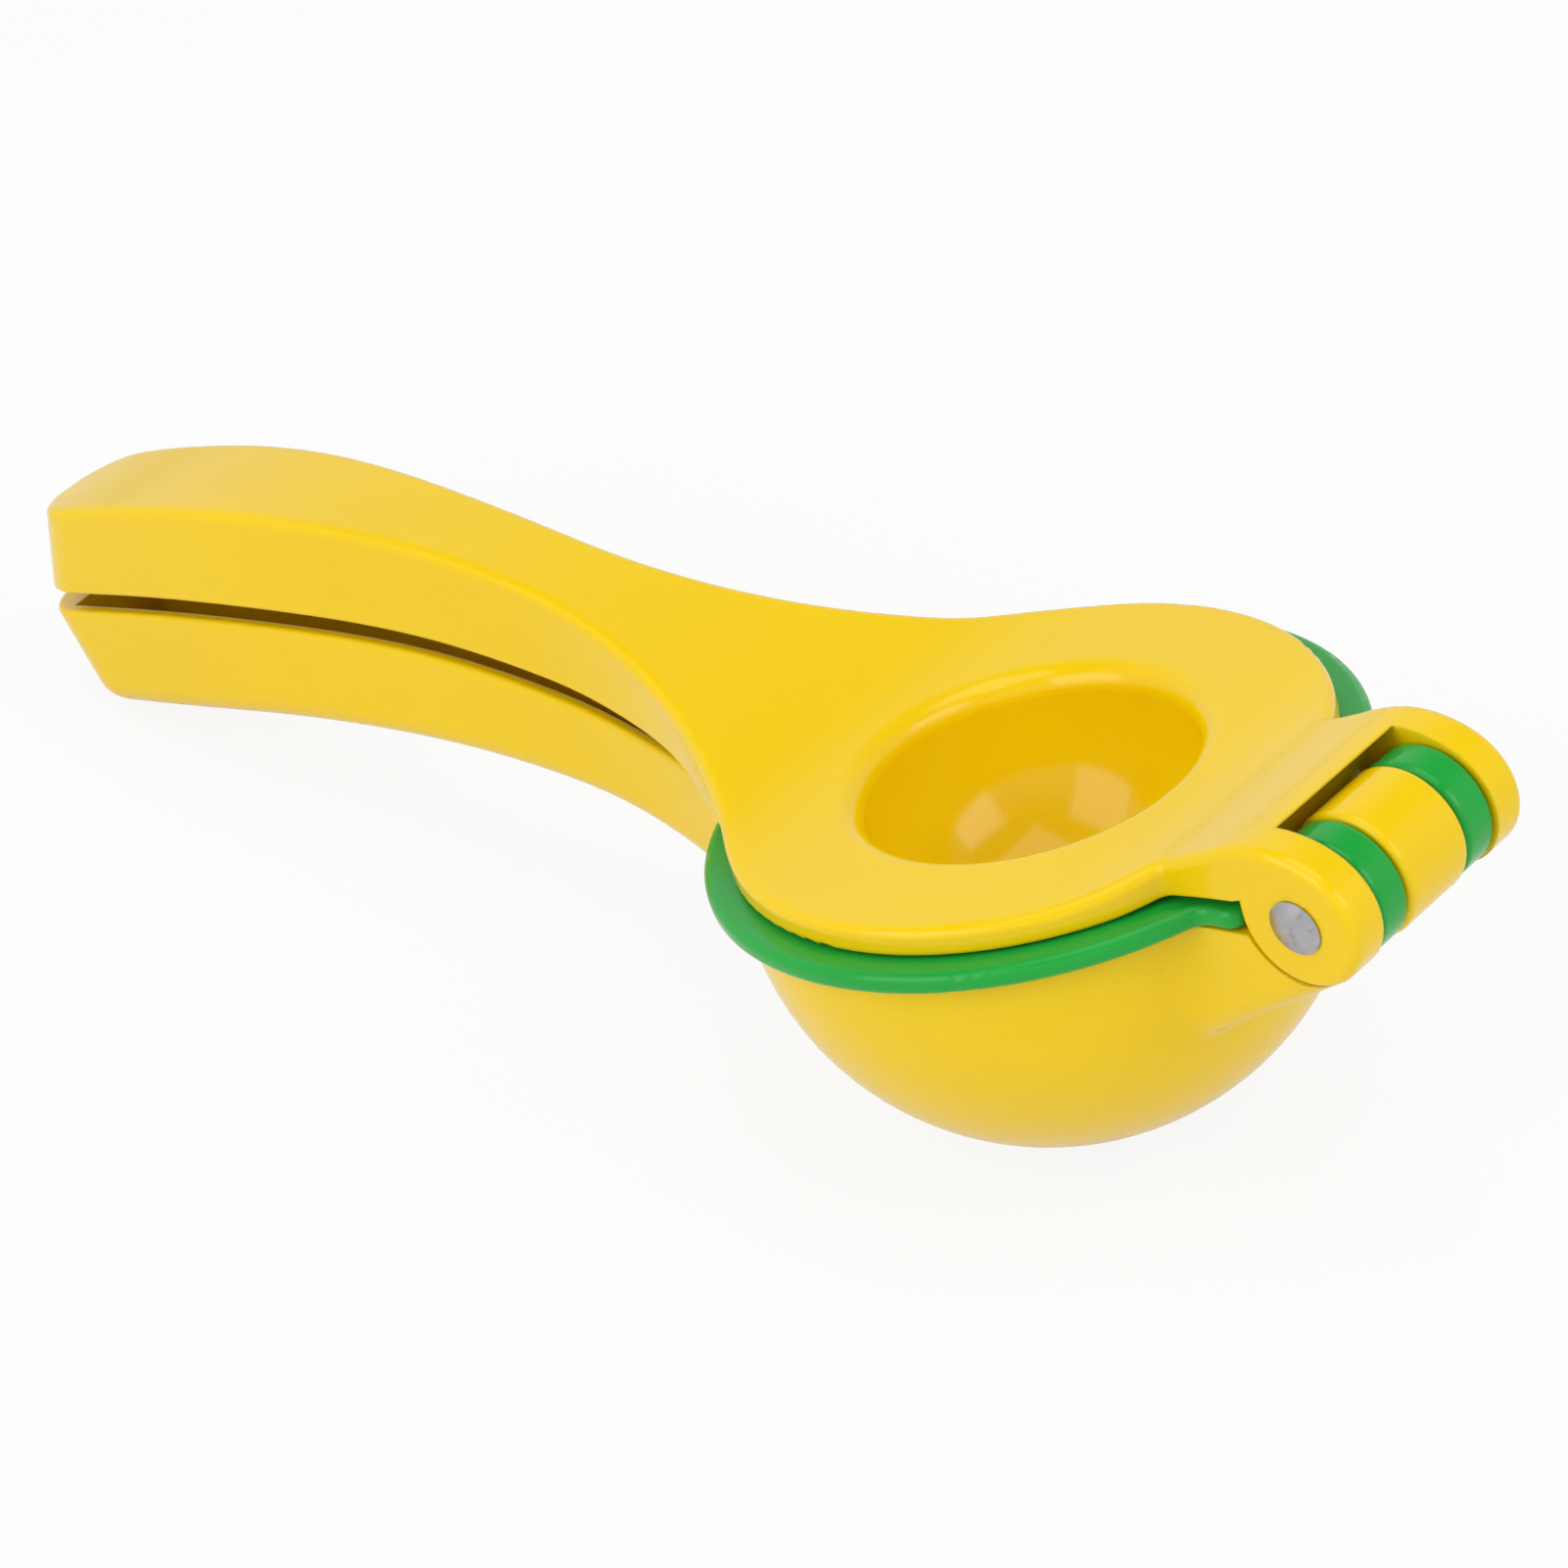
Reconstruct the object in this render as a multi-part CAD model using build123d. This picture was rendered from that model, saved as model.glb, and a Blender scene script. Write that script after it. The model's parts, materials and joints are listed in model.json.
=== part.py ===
# Hinged hand citrus press: an upper press lever, a lime insert and a lower cup lever on one rivet.
# Millimetres. Everything is drawn with the press plate level, the centre of its dish at the origin,
# the handles towards -X and the hinge towards +X, and is then set down on a table with +Z up.
import math
import os

from build123d import *

# Nested bowls, from the cup inwards
cup_radius = 36.6
cup_wall = 3.0
cup_centre_depth = 10.0
bowl_room = 4.0
insert_wall = 2.6
insert_centre_depth = 7.5
dome_room = 3.6
press_wall = 3.2
dish_centre_depth = 4.0

# Rims that close on one another
plate_inset = 0.2
plate_thick = 3.5
flange_lip = 3.4
flange_thick = 2.7
rim_gap = 0.25
seat_gap = 0.6

# Rounded edges of the bowls, and the shares of a thickness that an edge is rounded by
dish_mouth_fillet = 3.0
dome_root_fillet = 1.5
insert_root_fillet = 1.5
mouth_edge_fillet = 0.8
top_edge_share = 0.36
rim_edge_share = 0.2
flange_edge_share = 0.4
flange_corner_share = 0.4

# Hinge
pin_reach = 14.5
pin_drop = 3.8
pin_radius = 2.6
hinge_share = 0.44
ear_radius = 8.15
ear_width = 5.1
ear_blend_angle = 52.0
insert_knuckle_width = 5.1
insert_knuckle_step = 0.3
centre_knuckle_step = 0.05
knuckle_edge_fillet = 0.9
scoop_room = 1.8
running_gap = 0.05
swing_gap = 0.3
side_gap = 0.2
rivet_head_radius = 3.4
rivet_head_height = 0.9
rivet_edge_height = 0.3

# Arms from the plate to the ears
ramp_lead = 1.8
ramp_reach = 1.6
ramp_height = 3.1
shoulder_angle = 115.6
shoulder_over = 2.0
arm_corner = 2.0
arm_lift = 1.65
relief_lead = 4.5
relief_middle = 1.45
relief_end = 1.65

# Tongue from the cup to the hinge
lip_angle = -80.0
lip_thick = 0.5
tongue_root_share = 0.8
tongue_fall = 0.5
tongue_inset = 0.5
tongue_blend_share = 0.16
tongue_edge_fillet = 2.5

# Handles
handle_length = 128.0
grip_half = 9.0
neck_half = 6.2
tip_inset = 1.2
cup_tip_reach = 0.7
tip_flat = 0.3
tip_lean = 4.4
tip_height = 16.2
neck_lead = 8.2
cup_flare_inset = 5.6
neck_blend = 5.0
handle_wall = 1.6
handle_roof = 3.0
handle_gap = 2.6
heel_radius = 4.0
heel_lean = 0.375
heel_inset = 5.2

# Places along a handle, as shares of its length out from the plate
grip_at = 0.74
neck_at = 0.281
channel_end_at = 0.068
rim_root_at = -0.01

# Handle outlines in side view: share of the length out from the plate, height over the plate
press_top_line = [(0.82, 20.1), (0.645, 22.2), (0.345, 18.9), (0.108, 10.6), (-0.035, 3.9)]
press_rim_line = [(1.0, 4.0), (0.84, 6.7), (0.64, 8.3), (0.427, 6.9), (0.24, 2.8), (0.13, 0.4)]
press_rim_root = [(0.062, -1.1), (rim_root_at, -plate_thick)]
cup_heel_line = [(0.843, -11.0), (0.645, -9.0), (0.384, -10.9)]
cup_neck_line = [(0.187, -15.3), (0.068, -18.7), (-0.066, -22.0)]

# Drain slots
drain_count = 6
drain_width = 3.2
drain_start = 4.5
drain_end = 15.0

# Radii, levels and places that follow
plate_radius = cup_radius - plate_inset
flange_radius = cup_radius + flange_lip
cup_inner_radius = cup_radius - cup_wall
insert_outer_radius = cup_inner_radius - bowl_room
insert_inner_radius = insert_outer_radius - insert_wall
dome_radius = insert_inner_radius - dome_room
dish_radius = dome_radius - press_wall
flange_top = -plate_thick - rim_gap
flange_bottom = flange_top - flange_thick
cup_rim = flange_bottom - rim_gap
pin_x = plate_radius + pin_reach
pin_z = -pin_drop
hinge_half = hinge_share * cup_radius
slot_half = hinge_half - ear_width
centre_half = slot_half - insert_knuckle_width - 2 * side_gap
top_edge_fillet = top_edge_share * plate_thick
rim_edge_fillet = rim_edge_share * plate_thick
tip_half = grip_half - tip_inset
tip_corner = tip_half - tip_flat
tip_x = -plate_radius - handle_length
cup_tip_x = tip_x - cup_tip_reach
heel_x = cup_tip_x + heel_inset
neck_start = neck_lead - dish_radius
span = 2 * abs(tip_x)


def out(share):
    """Place along X at a share of the handle's length out from the plate."""
    return -plate_radius - share * handle_length


def outline(line):
    return [(out(share), height) for share, height in line]


def about_pin(angle, radius):
    turn = math.radians(angle)
    return (pin_x + radius * math.cos(turn), pin_z + radius * math.sin(turn))


def side_solid(edges):
    """Side view in X and Z, pushed out to both sides along Y."""
    return extrude(Plane.XZ.offset(-span / 2) * make_face(edges), amount=span)


def plan_solid(face):
    """Plan view in X and Y, pushed out up and down."""
    return extrude(Pos(0, 0, -span / 2) * face, amount=span)


def mirrored_face(edges):
    return make_face(edges + [mirror(edge, Plane.XZ) for edge in edges])


def hinge_cylinder(radius, start_y, end_y):
    """Cylinder on the hinge axis between two distances along Y."""
    middle = (start_y + end_y) / 2
    return Pos(pin_x, middle, pin_z) * Rot(90, 0, 0) * Cylinder(radius, end_y - start_y)


def both_sides(solid):
    return solid + mirror(solid, Plane.XZ)


def ball(radius, depth):
    return Pos(0, 0, -depth) * Sphere(radius)


def block(low, high):
    """Box between two opposite corners."""
    size = [b - a for a, b in zip(low, high)]
    return Pos(*low) * Box(*size, align=Align.MIN)


def across(edge):
    """True for an edge that runs along Y."""
    way = edge @ 1 - edge @ 0
    return abs(way.Y) > 0.999 * way.length


def ring_edges(solid, radius, low, high):
    """Round edges about the upright axis of the bowls, of one radius, between two heights."""
    near = [e for e in solid.edges() if low - 0.1 < e.center().Z < high + 0.1]
    ways = {e: [math.hypot((e @ t).X, (e @ t).Y) for t in (0, 0.3, 0.7)] for e in near}
    return [e for e in near if all(abs(way - radius) < 0.05 for way in ways[e])]


def handle_plan(end_x, round_radius, inset=0.0):
    """Half outline of a handle in plan, from the tip to the round body that it flares into."""
    narrow = neck_half - inset
    wide = grip_half - inset
    end = (end_x + inset, tip_half - inset)
    grip_x = out(grip_at)
    neck_x = out(neck_at)
    flare = (neck_x**2 + narrow**2 - round_radius**2) / (2 * (round_radius - narrow))
    reach = math.hypot(neck_x, narrow + flare)
    meet = (round_radius * neck_x / reach, round_radius * (narrow + flare) / reach)
    middle_x = (neck_x + meet[0]) / 2
    middle = (middle_x, narrow + flare - math.sqrt(flare**2 - (middle_x - neck_x) ** 2))
    lead = 0.4 * (neck_x - grip_x)
    edges = [
        Line((end[0], 0), end),
        Bezier(end, ((end[0] + grip_x) / 2, wide), (grip_x, wide)),
        Bezier((grip_x, wide), (grip_x + lead, wide), (neck_x - lead, narrow), (neck_x, narrow)),
        ThreePointArc((neck_x, narrow), middle, meet),
    ]
    return edges, meet


def handle_blank(end_x, round_radius, inset=0.0):
    """Upright solid with the plan of a handle, closed at the middle of the round body."""
    edges, meet = handle_plan(end_x, round_radius, inset)
    edges += [Line(meet, (0, meet[1])), Line((0, meet[1]), (0, 0))]
    return plan_solid(mirrored_face(edges))


def tip_corner_edges(solid):
    """Upright edges at the two corners of a handle's tip."""
    ends = [e for e in solid.edges() if e.center().X < tip_x + tip_corner]
    return [e for e in ends if not across(e)]


def press_top():
    """Line over the top of the press lever, from the tip to the level plate."""
    points = [(tip_x + tip_lean, tip_height), *outline(press_top_line), (neck_start, 0)]
    return points, [(1, 0.3), (1, 0)]


def press_plan():
    """Plan of the press lever: handle, round plate and the two hinge arms."""
    edges, meet = handle_plan(tip_x, plate_radius)
    arm_x = math.sqrt(plate_radius**2 - hinge_half**2)
    end_x = pin_x + 2 * ear_radius
    edges += [
        ThreePointArc(meet, (0, plate_radius), (arm_x, hinge_half)),
        Line((arm_x, hinge_half), (end_x, hinge_half)),
        Line((end_x, hinge_half), (end_x, 0)),
    ]
    face = mirrored_face(edges)
    corners = [v for v in face.vertices() if abs(v.X - arm_x) < 0.01]
    return fillet(corners, arm_corner)


def press_side():
    """Side view of the press lever, over the top from the tip to the ears and back below."""
    top, top_ends = press_top()
    rim = outline(press_rim_line + press_rim_root)
    ramp_start = (dish_radius + ramp_lead, 0)
    ramp = (plate_radius + ramp_reach, ramp_height)
    shoulder = about_pin(shoulder_angle, ear_radius + shoulder_over)
    ear_top = about_pin(ear_blend_angle, ear_radius)
    ear_foot = about_pin(180, ear_radius)
    arm_foot = (ear_foot[0], arm_lift - plate_thick)
    arm_root = (math.sqrt(plate_radius**2 - hinge_half**2) + 2 * arm_corner, -plate_thick)
    turn = math.radians(ear_blend_angle)
    return [
        Spline(top, tangents=top_ends),
        Line(top[-1], ramp_start),
        Spline([ramp_start, ramp, shoulder, ear_top], tangents=[(1, 0), (math.sin(turn), -math.cos(turn))]),
        ThreePointArc(ear_top, about_pin(-60, ear_radius), ear_foot),
        Line(ear_foot, arm_foot),
        Line(arm_foot, arm_root),
        Line(arm_root, rim[-1]),
        Spline(rim, tangents=[(1, 0.13), (1, 0)]),
        Line(rim[0], top[0]),
    ]


def press_body():
    """Outer shape of the press lever with its rounded edges, before the hollows."""
    body = side_solid(press_side()) & plan_solid(press_plan())
    body = fillet(tip_corner_edges(body), tip_corner)
    crown = [f for f in body.faces() if f.normal_at(f.center()).Z > 0.5]
    body = fillet([e for f in crown for e in f.edges() if not across(e)], top_edge_fillet)
    low = [f for f in body.faces() if f.normal_at(f.center()).Z < -0.5 and f.center().X < dish_radius]
    return fillet([e for f in low for e in f.edges() if not across(e)], rim_edge_fillet)


def arm_relief():
    """Hollow under the arms that eases their lower edge up towards the ears."""
    start = (math.sqrt(plate_radius**2 - hinge_half**2) - relief_lead, -plate_thick)
    end = (pin_x - ear_radius / 2, relief_end - plate_thick)
    middle = ((start[0] + 2 * end[0]) / 3, relief_middle - plate_thick)
    below = -2 * plate_thick
    edges = [
        ThreePointArc(start, middle, end),
        Line(end, (end[0], below)),
        Line((end[0], below), (start[0], below)),
        Line((start[0], below), start),
    ]
    return side_solid(edges) - hinge_cylinder(ear_radius, -span, span)


def press_channel():
    """Hollow of the press handle, open below."""
    top, top_ends = press_top()
    rim_tip = outline(press_rim_line)[0]
    lowered = [(x, z - handle_roof) for x, z in top]
    floor = -plate_thick - handle_roof
    side = [
        Spline(lowered, tangents=top_ends),
        Line(lowered[-1], (lowered[-1][0], floor)),
        Line((lowered[-1][0], floor), (tip_x, floor)),
        Line((tip_x, floor), (tip_x, lowered[0][1])),
        Line((tip_x, lowered[0][1]), lowered[0]),
    ]
    lean = math.degrees(math.atan2(tip_lean, top[0][1] - rim_tip[1]))
    behind_tip = Pos(rim_tip[0] + handle_wall, 0, rim_tip[1]) * Rot(0, lean, 0)
    keep = behind_tip * block((0, -span, -span), (span, span, span))
    keep &= block((-span, -span, -span), (out(channel_end_at), span, span))
    return side_solid(side) & handle_blank(tip_x, plate_radius, handle_wall) & keep


def press_lever():
    """Press lever: plate with its dish and dome, hollow handle, hinge slot and two ears."""
    body = press_body() - press_channel() - arm_relief()
    body += ball(dome_radius, dish_centre_depth) - block((-span, -span, -plate_thick / 2), (span, span, span))
    root = math.sqrt(dome_radius**2 - (plate_thick - dish_centre_depth) ** 2)
    body = fillet(ring_edges(body, root, -plate_thick, -plate_thick), dome_root_fillet)
    body -= ball(dish_radius, dish_centre_depth)
    body -= Pos(0, 0, -dish_centre_depth) * extrude(Circle(dish_radius), amount=span)
    body = fillet(ring_edges(body, dish_radius, 0, plate_radius), dish_mouth_fillet)
    body -= hinge_cylinder(ear_radius + scoop_room, -slot_half, slot_half)
    body -= block((pin_x, -slot_half, -span), (span, slot_half, span))
    return body - hinge_cylinder(pin_radius + running_gap, -span, span)


def drains():
    """Ring of upright slots through the bottom of a bowl."""
    slot = Pos((drain_start + drain_end) / 2, 0) * SlotOverall(drain_end - drain_start, drain_width)
    ring = [Rot(0, 0, turn * 360 / drain_count) * slot for turn in range(drain_count)]
    return Pos(0, 0, -cup_centre_depth) * extrude(Sketch() + ring, amount=-span)


def insert_flange():
    """Flange of the insert with a short tab towards the hinge."""
    tab_x = pin_x - ear_radius - 2 * swing_gap
    tab_side = tab_x - math.sqrt(flange_radius**2 - hinge_half**2)
    face = Circle(flange_radius) + Pos(tab_x / 2, 0) * Rectangle(tab_x, 2 * hinge_half)
    solid = Pos(0, 0, flange_bottom) * extrude(face, amount=flange_thick)
    beside = [e for e in solid.edges().filter_by(Axis.Z) if e.center().X > flange_radius / 2]
    solid = fillet(beside, flange_corner_share * tab_side)
    flats = solid.faces().filter_by(Axis.Z)
    return fillet([e for f in flats for e in f.edges()], flange_edge_share * flange_thick)


def knuckle(step, start_y, end_y):
    """Hinge knuckle with softened edges, smaller than the ears by a step."""
    barrel = hinge_cylinder(ear_radius - step, start_y, end_y)
    return fillet(barrel.edges().filter_by(GeomType.CIRCLE), knuckle_edge_fillet)


def lime_insert():
    """Insert: flange, bowl with drain slots and two knuckles that straddle the centre knuckle."""
    bowl = ball(insert_outer_radius, insert_centre_depth)
    body = insert_flange() + (bowl - block((-span, -span, flange_bottom), (span, span, span)))
    root = math.sqrt(insert_outer_radius**2 - (insert_centre_depth + flange_bottom) ** 2)
    body = fillet(ring_edges(body, root, flange_bottom, flange_bottom), insert_root_fillet)
    body -= ball(insert_inner_radius, insert_centre_depth)
    body -= Pos(0, 0, -insert_centre_depth) * extrude(Circle(insert_inner_radius), amount=span)
    body = fillet(ring_edges(body, insert_inner_radius, flange_top, flange_top), mouth_edge_fillet)
    body -= drains()
    start = centre_half + side_gap
    end = slot_half - side_gap
    arm = block((plate_radius, start, flange_bottom), (pin_x, end, flange_top))
    body += both_sides(arm + knuckle(insert_knuckle_step, start, end))
    return body - hinge_cylinder(pin_radius + running_gap, -span, span)


def cup_tongue():
    """Block from the cup to the hinge, with its lip below the ears."""
    lip = about_pin(lip_angle, ear_radius + swing_gap + lip_thick)
    shelf_x = pin_x + ear_radius / 3
    root_x = tongue_root_share * cup_radius
    root_z = lip[1] - tongue_fall * (lip[0] - root_x)
    side = Polyline((0, cup_rim), (shelf_x, cup_rim), lip, (root_x, root_z), (0, root_z), close=True)
    half = hinge_half - tongue_inset
    solid = side_solid(side.edges()) & block((0, -half, -span), (span, half, 0))
    slanted = [e for e in solid.edges() if not across(e) and root_z < e.center().Z < lip[1]]
    slanted = [e for e in slanted if abs((e @ 1 - e @ 0).X) > 1]
    return fillet(slanted, tongue_edge_fillet)


def cup_handle_rim():
    """Upper edge of the cup handle, a gap below the edge of the press handle."""
    rim = [(x, z - handle_gap) for x, z in outline(press_rim_line + press_rim_root)]
    return [(cup_tip_x, rim[0][1])] + rim[1:]


def heel_corner():
    """Sharp corner of the heel in side view, where the slanted tip would meet the underside."""
    return (heel_x, cup_handle_rim()[0][1] - heel_inset / heel_lean)


def heel_run():
    """Straight step in side view from the corner of the heel to the first point of the underside."""
    corner = heel_corner()
    first = outline(cup_heel_line)[0]
    return (first[0] - corner[0], first[1] - corner[1])


def heel_centre():
    """Centre of the rounded heel in side view."""
    corner = heel_corner()
    run = heel_run()
    below = (run[1] / math.hypot(*run), -run[0] / math.hypot(*run))
    ahead = (-1 / math.hypot(1, heel_lean), -heel_lean / math.hypot(1, heel_lean))
    reach = heel_radius / (1 + below[0] * ahead[0] + below[1] * ahead[1])
    return tuple(c - reach * (p + q) for c, p, q in zip(corner, below, ahead))


def cup_underside():
    """Line below the cup handle, from the straight run behind the heel to the cup."""
    return outline(cup_heel_line + cup_neck_line), [heel_run(), (1, -0.25)]


def cup_handle_side():
    """Side view of the cup handle: rim, slanted tip, heel and underside."""
    rim = cup_handle_rim()
    under, under_ends = cup_underside()
    return [
        Spline(rim, tangents=[(1, 0.13), (1, 0)]),
        Line(rim[-1], (0, rim[-1][1])),
        Line((0, rim[-1][1]), (0, under[-1][1])),
        Line((0, under[-1][1]), under[-1]),
        Spline(under, tangents=under_ends),
        Line(under[0], heel_corner()),
        Line(heel_corner(), rim[0]),
    ]


def cup_handle():
    """Handle of the cup lever with its rounded tip, heel and edges."""
    solid = side_solid(cup_handle_side()) & handle_blank(cup_tip_x, cup_radius - cup_flare_inset)
    solid = fillet(tip_corner_edges(solid), tip_corner)
    under = [f for f in solid.faces() if f.normal_at(f.center()).Z < -0.5 and f.center().X < -plate_radius]
    edges = [e for f in under for e in f.edges() if not across(e) or e.center().X < heel_x + 1]
    solid = fillet(edges, heel_radius)
    top = [f for f in solid.faces() if f.normal_at(f.center()).Z > 0.5]
    return fillet([e for f in top for e in f.edges() if not across(e)], rim_edge_fillet)


def cup_channel():
    """Hollow of the cup handle, open above."""
    under, under_ends = cup_underside()
    raised = [(x, z + handle_roof) for x, z in under]
    tip_floor = heel_corner()[1] + handle_roof
    roof = span / 4
    side = [
        Spline(raised, tangents=under_ends),
        Line(raised[-1], (raised[-1][0], roof)),
        Line((raised[-1][0], roof), (heel_x, roof)),
        Line((heel_x, roof), (heel_x, tip_floor)),
        Line((heel_x, tip_floor), raised[0]),
    ]
    keep = block((heel_x + handle_wall, -span, -span), (out(channel_end_at), span, span))
    return side_solid(side) & handle_blank(cup_tip_x, cup_radius - cup_flare_inset, handle_wall) & keep


def cup_seam(solid, side):
    """Edges where the tongue (side 1) or the handle (side -1) meets the outside of the cup."""
    middle = Vector(0, 0, -cup_centre_depth)
    low = [e for e in solid.edges() if side * e.center().X > cup_radius / 2 and e.center().Z < cup_rim - 1]
    return [e for e in low if all(abs((e @ t - middle).length - cup_radius) < 0.02 for t in (0, 0.4, 1))]


def cup_lever():
    """Cup lever: cup with drain slots, hollow handle, tongue, hinge troughs and centre knuckle."""
    body = ball(cup_radius, cup_centre_depth) + cup_tongue()
    body = fillet(cup_seam(body, 1), tongue_blend_share * cup_radius) + cup_handle()
    body -= Pos(0, 0, cup_rim) * extrude(Circle(flange_radius + seat_gap), amount=span)
    body = fillet(cup_seam(body, -1), neck_blend)
    body -= block((0, -span, cup_rim), (span, span, span))
    body -= cup_channel()
    body -= ball(cup_inner_radius, cup_centre_depth)
    body -= drains()
    step = slot_half - side_gap / 2
    body -= both_sides(hinge_cylinder(ear_radius - insert_knuckle_step + swing_gap, centre_half, step))
    body -= both_sides(hinge_cylinder(ear_radius + swing_gap, step, span))
    body += knuckle(centre_knuckle_step, -centre_half, centre_half)
    return body - hinge_cylinder(pin_radius + running_gap, -span, span)


def hinge_rivet():
    """Rivet through all the knuckles, with a low domed head on each ear."""
    edge_y = hinge_half + rivet_edge_height
    crown_y = hinge_half + rivet_head_height
    rise = rivet_head_height - rivet_edge_height
    dome = (rivet_head_radius**2 + rise**2) / (2 * rise)
    shoulder_x = rivet_head_radius / 2
    shoulder_y = crown_y - dome + math.sqrt(dome**2 - shoulder_x**2)
    half = [
        Line((pin_radius, 0), (pin_radius, hinge_half)),
        Line((pin_radius, hinge_half), (rivet_head_radius, hinge_half)),
        Line((rivet_head_radius, hinge_half), (rivet_head_radius, edge_y)),
        ThreePointArc((rivet_head_radius, edge_y), (shoulder_x, shoulder_y), (0, crown_y)),
        Line((0, crown_y), (0, 0)),
    ]
    face = make_face(half + [mirror(edge, Plane.XZ) for edge in half])
    return Pos(pin_x, 0, pin_z) * revolve(face, Axis.Y)


def table_place():
    """Sets the press down on its cup and the heel of its lower handle, cup contact at the origin."""
    heel = heel_centre()
    apart = (-heel[0], -cup_centre_depth - heel[1])
    lift = math.asin((cup_radius - heel_radius) / math.hypot(*apart))
    tilt = lift - math.atan2(apart[1], apart[0])
    shift_x = -cup_centre_depth * math.sin(tilt)
    shift_z = cup_centre_depth * math.cos(tilt) + cup_radius
    return Pos(shift_x, 0, shift_z) * Rot(0, -math.degrees(tilt), 0)


place = table_place()
os.makedirs("parts", exist_ok=True)
export_step(place * press_lever(), "parts/press_lever.step")
export_step(place * lime_insert(), "parts/lime_insert.step")
export_step(place * cup_lever(), "parts/cup_lever.step")
export_step(place * hinge_rivet(), "parts/hinge_rivet.step")
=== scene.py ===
import json
from math import cos, radians, sin

import bmesh
import bpy
from mathutils import Matrix, Quaternion, Vector


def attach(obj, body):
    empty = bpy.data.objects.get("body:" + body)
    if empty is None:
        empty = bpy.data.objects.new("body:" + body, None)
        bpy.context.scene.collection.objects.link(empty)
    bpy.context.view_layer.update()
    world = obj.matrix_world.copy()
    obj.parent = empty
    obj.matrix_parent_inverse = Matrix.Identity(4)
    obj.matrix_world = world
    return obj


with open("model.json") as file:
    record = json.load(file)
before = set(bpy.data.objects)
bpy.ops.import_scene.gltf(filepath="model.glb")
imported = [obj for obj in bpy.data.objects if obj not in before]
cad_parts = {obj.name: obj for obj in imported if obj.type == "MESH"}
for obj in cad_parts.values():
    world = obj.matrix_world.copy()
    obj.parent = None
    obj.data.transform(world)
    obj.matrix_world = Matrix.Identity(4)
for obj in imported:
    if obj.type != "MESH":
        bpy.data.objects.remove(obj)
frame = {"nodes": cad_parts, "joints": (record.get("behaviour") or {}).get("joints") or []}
bpy.context.view_layer.update()
scene = bpy.context.scene
print("press loaded:", ", ".join(sorted(frame["nodes"])))


# a node of a material's tree, with its settings and the values of its sockets
def addNode(tree, kind, settings=None, sockets=None):
    node = tree.nodes.new(kind)
    for key, value in (settings or {}).items():
        setattr(node, key, value)
    for key, value in (sockets or {}).items():
        node.inputs[key].default_value = value
    return node


def startMaterial(name):
    material = bpy.data.materials.new(name)
    material.use_nodes = True
    tree = material.node_tree
    tree.nodes.clear()
    output = addNode(tree, "ShaderNodeOutputMaterial")
    shader = addNode(tree, "ShaderNodeBsdfPrincipled")
    tree.links.new(shader.outputs["BSDF"], output.inputs["Surface"])
    return material, tree, shader


# object coordinates, shifted so that no two pieces carry the same pattern
def patternSpace(tree, shift):
    place = addNode(tree, "ShaderNodeTexCoord")
    mapping = addNode(tree, "ShaderNodeMapping", None, {"Location": shift})
    tree.links.new(place.outputs["Object"], mapping.inputs["Vector"])
    return mapping.outputs["Vector"]


def noise(tree, space, scale, detail, roughness=0.5):
    sockets = {"Scale": scale, "Detail": detail, "Roughness": roughness}
    node = addNode(tree, "ShaderNodeTexNoise", None, sockets)
    tree.links.new(space, node.inputs["Vector"])
    return node.outputs["Fac"]


def spread(tree, value, fromLow, fromHigh, toLow, toHigh):
    node = addNode(tree, "ShaderNodeMapRange", None, {
        "From Min": fromLow, "From Max": fromHigh, "To Min": toLow, "To Max": toHigh})
    tree.links.new(value, node.inputs["Value"])
    return node.outputs["Result"]


def sums(tree, operation, first, second):
    node = addNode(tree, "ShaderNodeMath", {"operation": operation})
    for socket, value in zip(node.inputs, (first, second)):
        if isinstance(value, (int, float)):
            socket.default_value = value
        else:
            tree.links.new(value, socket)
    return node.outputs["Value"]


def mixColour(tree, share, first, second):
    node = addNode(tree, "ShaderNodeMix", {"data_type": "RGBA"})
    for key, value in (("Factor", share), ("A", first), ("B", second)):
        socket = node.inputs[key]
        if isinstance(value, (int, float)):
            socket.default_value = value
        elif isinstance(value, tuple):
            socket.default_value = (*value, 1.0)
        else:
            tree.links.new(value, socket)
    return node.outputs["Result"]


def bumpOn(tree, height, strength, depth):
    bump = addNode(tree, "ShaderNodeBump", None, {"Strength": strength, "Distance": depth})
    tree.links.new(height, bump.inputs["Height"])
    return bump


markCore = 0.6          # share of a mark's radius that has its full strength
wideBand = (0.3, 0.7)   # values of a noise between which it turns from none to all
midBand = (0.35, 0.65)


# small round marks in a few of the cells of a Voronoi pattern
def marks(tree, space, cell, radius, share):
    node = addNode(tree, "ShaderNodeTexVoronoi", None, {"Scale": 1.0 / cell})
    tree.links.new(space, node.inputs["Vector"])
    size = radius / cell
    dot = spread(tree, node.outputs["Distance"], markCore * size, size, 1.0, 0.0)
    split = addNode(tree, "ShaderNodeSeparateColor")
    tree.links.new(node.outputs["Color"], split.inputs["Color"])
    return sums(tree, "MULTIPLY", dot, sums(tree, "LESS_THAN", split.outputs["Red"], share))


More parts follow.
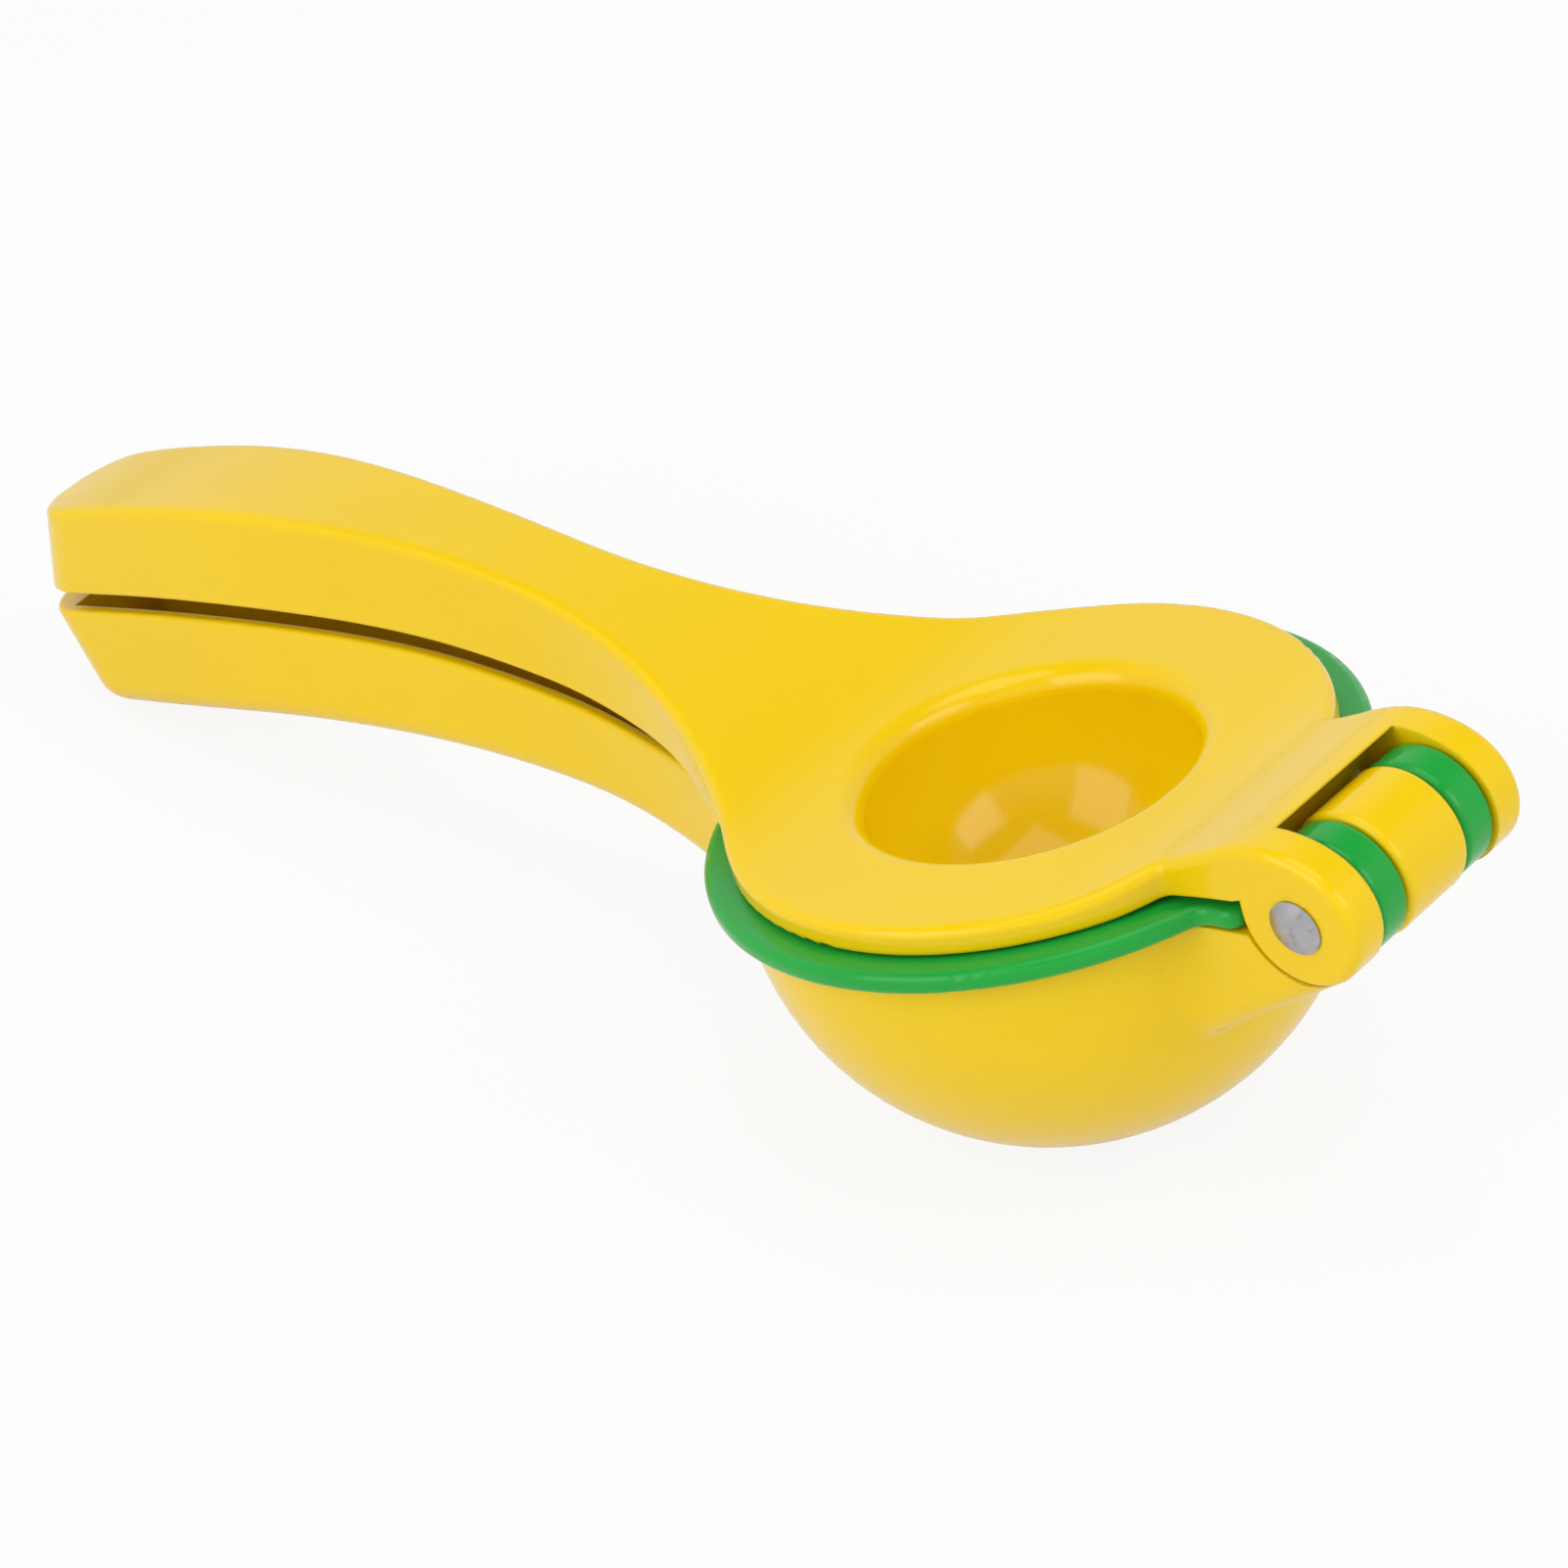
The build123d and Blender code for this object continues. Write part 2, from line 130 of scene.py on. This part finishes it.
# baked powder enamel: a satin skin with slight waviness, grit under it, and bare specks
def enamel(name, look):
    material, tree, shader = startMaterial(name)
    space = patternSpace(tree, look["shift"])
    cloud = spread(tree, noise(tree, space, look["cloudScale"], detail=3.0), *midBand, 0.0, 1.0)
    grain = noise(tree, space, look["grainScale"], detail=2.0)
    grain = spread(tree, grain, *wideBand, 0.0, look["grainShare"])
    colour = mixColour(tree, cloud, look["colour"], look["thinColour"])
    colour = mixColour(tree, grain, colour, look["grainColour"])
    specks = marks(tree, space, look["speckCell"], look["speckRadius"], look["speckShare"])
    grit = marks(tree, space, look["gritCell"], look["gritRadius"], look["gritShare"])
    bare = sums(tree, "MULTIPLY", specks, look["speckDepth"])
    colour = mixColour(tree, bare, colour, look["speckColour"])
    tree.links.new(colour, shader.inputs["Base Color"])
    sheen = noise(tree, space, look["sheenScale"], detail=4.0)
    sheen = spread(tree, sheen, *wideBand, *look["roughness"])
    dull = sums(tree, "MULTIPLY", specks, look["speckDull"])
    tree.links.new(sums(tree, "ADD", sheen, dull), shader.inputs["Roughness"])
    # orange peel, grit that stands up and specks that sink in
    peel = noise(tree, space, look["peelScale"], detail=2.0)
    raised = sums(tree, "ADD", peel, sums(tree, "MULTIPLY", grit, look["gritHeight"]))
    height = sums(tree, "SUBTRACT", raised, specks)
    bump = bumpOn(tree, height, look["peelStrength"], look["peelDepth"])
    edge = addNode(tree, "ShaderNodeBevel", {"samples": 4}, {"Radius": look["edgeRound"]})
    tree.links.new(edge.outputs["Normal"], bump.inputs["Normal"])
    tree.links.new(bump.outputs["Normal"], shader.inputs["Normal"])
    shader.inputs["IOR"].default_value = look["ior"]
    return material


def dress(node, material):
    frame["nodes"][node].material_slots[0].material = material
    print(node, "dressed in", material.name)


pressLever = {
    "shift": (0.31, 0.12, 0.05),
    "colour": (0.81, 0.542, 0.001),
    "thinColour": (0.83, 0.560, 0.002),
    "cloudScale": 28.0,
    "grainColour": (0.73, 0.48, 0.001),
    "grainScale": 1900.0,
    "grainShare": 0.10,
    "speckColour": (0.16, 0.12, 0.03),
    "speckCell": 0.008,
    "speckRadius": 0.00022,
    "speckShare": 0.07,
    "speckDepth": 0.75,
    "speckDull": 0.3,
    "gritCell": 0.0024,
    "gritRadius": 0.0003,
    "gritShare": 0.05,
    "gritHeight": 1.5,
    "sheenScale": 70.0,
    "roughness": (0.10, 0.14),
    "peelScale": 900.0,
    "peelStrength": 0.15,
    "peelDepth": 0.00003,
    "edgeRound": 0.0005,
    "ior": 1.36,
}
dress("press_lever", enamel("yellowEnamelPress", pressLever))

# rounded walls that close the two corners of the press handle's tip, placed from the hinge along the plate
tipCorners = {
    "tilt": 12.6225,        # degrees, of the plate on the table
    "tipReach": 0.2153,     # from the pin to the tip
    "lipHeight": 0.0078,    # of the handle's lip over the pin, at the tip
    "lipRise": 0.13,
    "lipRound": 0.0007,
    "lipSteps": 3,
    "roofHeight": 0.0087,   # over the lip, inside the handle's roof
    "roofRise": 0.27,
    "lean": 19.832,         # degrees, of the end of the handle
    "radius": 0.0075,
    "wall": 0.0015,
    "axisOut": 0.00074,     # from the middle of the handle to the axis of the rounding
    "axisSpread": 0.018,
    "sweep": 80,            # degrees, in steps of turnStep
    "turnStep": 2,
    "middle": 42.3,         # degrees, where the wall stands a hair proud of the casting
    "cover": 11.5,
    "proud": 0.00003,
    "crease": 40.0,         # degrees, from which an edge stays sharp
    "edgeRound": 0.00001,
}


# place on a corner: turned from the tip's end, at a radius, over a level that rises along the handle
def cornerPoint(look, side, turn, radius, height, rise):
    lean = radians(look["lean"])
    inward = look["radius"] - radius * cos(turn)
    up = (inward * (sin(lean) + rise * cos(lean)) + height) / (cos(lean) - rise * sin(lean))
    outward = look["axisOut"] + look["axisSpread"] * up + radius * sin(turn)
    along = inward * cos(lean) + up * sin(lean) - look["tipReach"]
    over = up * cos(lean) - inward * sin(lean) + look["lipHeight"]
    return Vector((along, side * outward, over))


def cornerSection(look, side, degrees):
    turn = radians(degrees)
    outer = look["radius"] + look["proud"] * (1.0 - ((degrees - look["middle"]) / look["cover"]) ** 2)
    inner = look["radius"] - look["wall"]
    lip = look["lipRound"]
    low = [(inner, 0.0)]
    for step in range(look["lipSteps"] + 1):
        bend = radians(90.0 * step / look["lipSteps"])
        low.append((outer - lip + lip * sin(bend), lip - lip * cos(bend)))
    points = [cornerPoint(look, side, turn, radius, height, look["lipRise"]) for radius, height in low]
    for radius in (outer, inner):
        points.append(cornerPoint(look, side, turn, radius, look["roofHeight"], look["roofRise"]))
    return points


def tipCornerWalls(look):
    pin = next(joint["pos_m"] for joint in frame["joints"] if joint["name"] == "press_hinge")
    place = Matrix.Translation(Vector(pin)) @ Matrix.Rotation(-radians(look["tilt"]), 4, "Y")
    walls = bmesh.new()
    for side in (-1.0, 1.0):
        rows = []
        for degrees in range(0, look["sweep"] + 1, look["turnStep"]):
            rows.append([walls.verts.new(place @ point) for point in cornerSection(look, side, degrees)])
        for first, second in zip(rows, rows[1:]):
            for index in range(len(first)):
                walls.faces.new((first[index - 1], first[index], second[index], second[index - 1]))
        walls.faces.new(rows[0])
        walls.faces.new(rows[-1])
    bmesh.ops.recalc_face_normals(walls, faces=walls.faces)
    for face in walls.faces:
        face.smooth = True
    for edge in walls.edges:
        edge.smooth = edge.calc_face_angle(0.0) < radians(look["crease"])
    mesh = bpy.data.meshes.new("tipCorners")
    walls.to_mesh(mesh)
    walls.free()
    piece = bpy.data.objects.new("tipCorners", mesh)
    scene.collection.objects.link(piece)
    return piece


tipEnamel = dict(pressLever, edgeRound=tipCorners["edgeRound"])
piece = tipCornerWalls(tipCorners)
piece.data.materials.append(enamel("yellowEnamelTip", tipEnamel))
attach(piece, "press")
print("tip corners closed")

cupLever = dict(pressLever, shift=(0.07, 0.44, 0.21))
dress("cup_lever", enamel("yellowEnamelCup", cupLever))

limeInsert = {
    "shift": (0.52, 0.03, 0.33),
    "colour": (0.009, 0.32, 0.038),
    "thinColour": (0.011, 0.35, 0.043),
    "cloudScale": 34.0,
    "grainColour": (0.007, 0.26, 0.030),
    "grainScale": 1900.0,
    "grainShare": 0.12,
    "speckColour": (0.01, 0.05, 0.015),
    "speckCell": 0.008,
    "speckRadius": 0.00022,
    "speckShare": 0.05,
    "speckDepth": 0.7,
    "speckDull": 0.3,
    "gritCell": 0.0024,
    "gritRadius": 0.0003,
    "gritShare": 0.05,
    "gritHeight": 1.5,
    "sheenScale": 80.0,
    "roughness": (0.12, 0.17),
    "peelScale": 900.0,
    "peelStrength": 0.15,
    "peelDepth": 0.00003,
    "edgeRound": 0.0004,
    "ior": 1.35,
}
dress("lime_insert", enamel("greenEnamel", limeInsert))

hingeRivet = {
    "shift": (0.2, 0.6, 0.4),
    "colour": (0.385, 0.38, 0.4),
    "paleColour": (0.48, 0.47, 0.49),
    "dullColour": (0.27, 0.26, 0.27),
    "mottleScale": 420.0,
    "dullScale": 900.0,
    "dullBand": (0.55, 0.72),
    "dullShare": 0.7,
    "roughness": (0.20, 0.32),
    "dentScale": 700.0,
    "dentStrength": 0.3,
    "dentDepth": 0.00006,
    "scratchScale": 2600.0,
    "scratchShare": 0.25,
}


# worn steel of the rivet: mottled, dull in places, lightly hammered
def wornSteel(name, look):
    material, tree, shader = startMaterial(name)
    space = patternSpace(tree, look["shift"])
    mottle = noise(tree, space, look["mottleScale"], detail=4.0, roughness=0.6)
    mottle = spread(tree, mottle, *midBand, 0.0, 1.0)
    dull = noise(tree, space, look["dullScale"], detail=3.0)
    dull = spread(tree, dull, *look["dullBand"], 0.0, look["dullShare"])
    colour = mixColour(tree, mottle, look["colour"], look["paleColour"])
    tree.links.new(mixColour(tree, dull, colour, look["dullColour"]), shader.inputs["Base Color"])
    tree.links.new(spread(tree, mottle, 0.0, 1.0, *look["roughness"]), shader.inputs["Roughness"])
    dents = noise(tree, space, look["dentScale"], detail=2.0)
    fine = noise(tree, space, look["scratchScale"], detail=2.0)
    height = sums(tree, "ADD", dents, sums(tree, "MULTIPLY", fine, look["scratchShare"]))
    bump = bumpOn(tree, height, look["dentStrength"], look["dentDepth"])
    tree.links.new(bump.outputs["Normal"], shader.inputs["Normal"])
    shader.inputs["Metallic"].default_value = 1.0
    return material


dress("hinge_rivet", wornSteel("wornSteel", hingeRivet))


# how white the backdrop shows to the eye, and in metal or through glass
def seenBackdrop(tree, eyeShare, metalShare):
    path = addNode(tree, "ShaderNodeLightPath")
    metal = sums(tree, "MAXIMUM", path.outputs["Is Glossy Ray"], path.outputs["Is Transmission Ray"])
    eyeSees = sums(tree, "MULTIPLY", path.outputs["Is Camera Ray"], eyeShare)
    return sums(tree, "MAXIMUM", eyeSees, sums(tree, "MULTIPLY", metal, metalShare))


floorLook = {"half": 2.5, "cells": 4, "paint": 0.8, "eyeGlow": 0.88, "metalGlow": 0.35}

mesh = bpy.data.meshes.new("tableTop")
sheet = bmesh.new()
cells = floorLook["cells"]
bmesh.ops.create_grid(sheet, x_segments=cells, y_segments=cells, size=floorLook["half"])
sheet.to_mesh(mesh)
sheet.free()
tableTop = bpy.data.objects.new("tableTop", mesh)
scene.collection.objects.link(tableTop)
material = bpy.data.materials.new("paleTable")
material.use_nodes = True
tree = material.node_tree
tree.nodes.clear()
output = addNode(tree, "ShaderNodeOutputMaterial")
paint = addNode(tree, "ShaderNodeBsdfDiffuse", None, {"Color": (*[floorLook["paint"]] * 3, 1.0)})
glow = addNode(tree, "ShaderNodeEmission", None, {"Color": (1.0, 1.0, 1.0, 1.0), "Strength": 1.0})
blend = addNode(tree, "ShaderNodeMixShader")
tree.links.new(seenBackdrop(tree, floorLook["eyeGlow"], floorLook["metalGlow"]), blend.inputs["Fac"])
tree.links.new(paint.outputs["BSDF"], blend.inputs[1])
tree.links.new(glow.outputs["Emission"], blend.inputs[2])
tree.links.new(blend.outputs["Shader"], output.inputs["Surface"])
tableTop.data.materials.append(material)
print("table laid")

# bright walls and a dim roof, parted by the height of a direction, and three soft boxes round the aim
studio = {
    "wallGlow": 0.94,
    "roofGlow": 0.2,
    "wallTop": 0.55,
    "roofFoot": 0.8,
    "aim": (0.0, 0.0, 0.035),
    "lamps": {
        "leftBox": {
            "way": (-0.24, -0.81, 0.535), "reach": 0.9,
            "wide": 0.66, "tall": 0.62, "roll": 15.0, "power": 2.75,
        },
        "rightBox": {
            "way": (0.749, 0.143, 0.647), "reach": 0.9,
            "wide": 0.57, "tall": 0.39, "roll": -10.0, "power": 1.95,
        },
        "topBox": {
            "way": (0.0, 0.0, 1.0), "reach": 0.9,
            "wide": 0.72, "tall": 0.72, "roll": 0.0, "power": 3.1,
        },
    },
}


def hangLamp(name, look):
    lamp = bpy.data.lights.new(name, "AREA")
    lamp.shape = "RECTANGLE"
    lamp.size = look["wide"]
    lamp.size_y = look["tall"]
    lamp.energy = look["power"]
    holder = bpy.data.objects.new(name, lamp)
    scene.collection.objects.link(holder)
    way = Vector(look["way"]).normalized()
    holder.location = Vector(studio["aim"]) + way * look["reach"]
    roll = Quaternion((0.0, 0.0, 1.0), radians(look["roll"]))
    holder.rotation_euler = (way.to_track_quat("Z", "Y") @ roll).to_euler()


for name, look in studio["lamps"].items():
    hangLamp(name, look)

world = bpy.data.worlds.new("whiteStudio")
scene.world = world
world.use_nodes = True
tree = world.node_tree
tree.nodes.clear()
output = addNode(tree, "ShaderNodeOutputWorld")
room = addNode(tree, "ShaderNodeBackground", None, {"Color": (1.0, 1.0, 1.0, 1.0)})
way = addNode(tree, "ShaderNodeTexCoord")
split = addNode(tree, "ShaderNodeSeparateXYZ")
tree.links.new(way.outputs["Generated"], split.inputs["Vector"])
levels = (studio["wallTop"], studio["roofFoot"], studio["wallGlow"], studio["roofGlow"])
sky = spread(tree, split.outputs["Z"], *levels)
tree.links.new(sky, room.inputs["Strength"])
tree.links.new(room.outputs["Background"], output.inputs["Surface"])
scene.view_settings.view_transform = "Standard"
print("studio lit by", len(studio["lamps"]), "soft boxes")

eye = {
    "place": (0.414523, -0.4822, 0.520274),
    "right": (0.7705, 0.6303, -0.0954),
    "forward": (-0.5511, 0.5834, -0.5965),
    "lens": 157.54,
    "sensor": 36.0,
    "near": 0.01,
    "far": 20.0,
}

camera = bpy.data.cameras.new("eye")
camera.lens = eye["lens"]
camera.sensor_width = eye["sensor"]
camera.clip_start = eye["near"]
camera.clip_end = eye["far"]
holder = bpy.data.objects.new("eye", camera)
scene.collection.objects.link(holder)
forward = Vector(eye["forward"]).normalized()
up = Vector(eye["right"]).cross(forward).normalized()
right = forward.cross(up)
turn = Matrix((right, up, -forward)).transposed()
holder.matrix_world = Matrix.Translation(Vector(eye["place"])) @ turn.to_4x4()
scene.camera = holder
print("camera set")

bpy.context.view_layer.update()
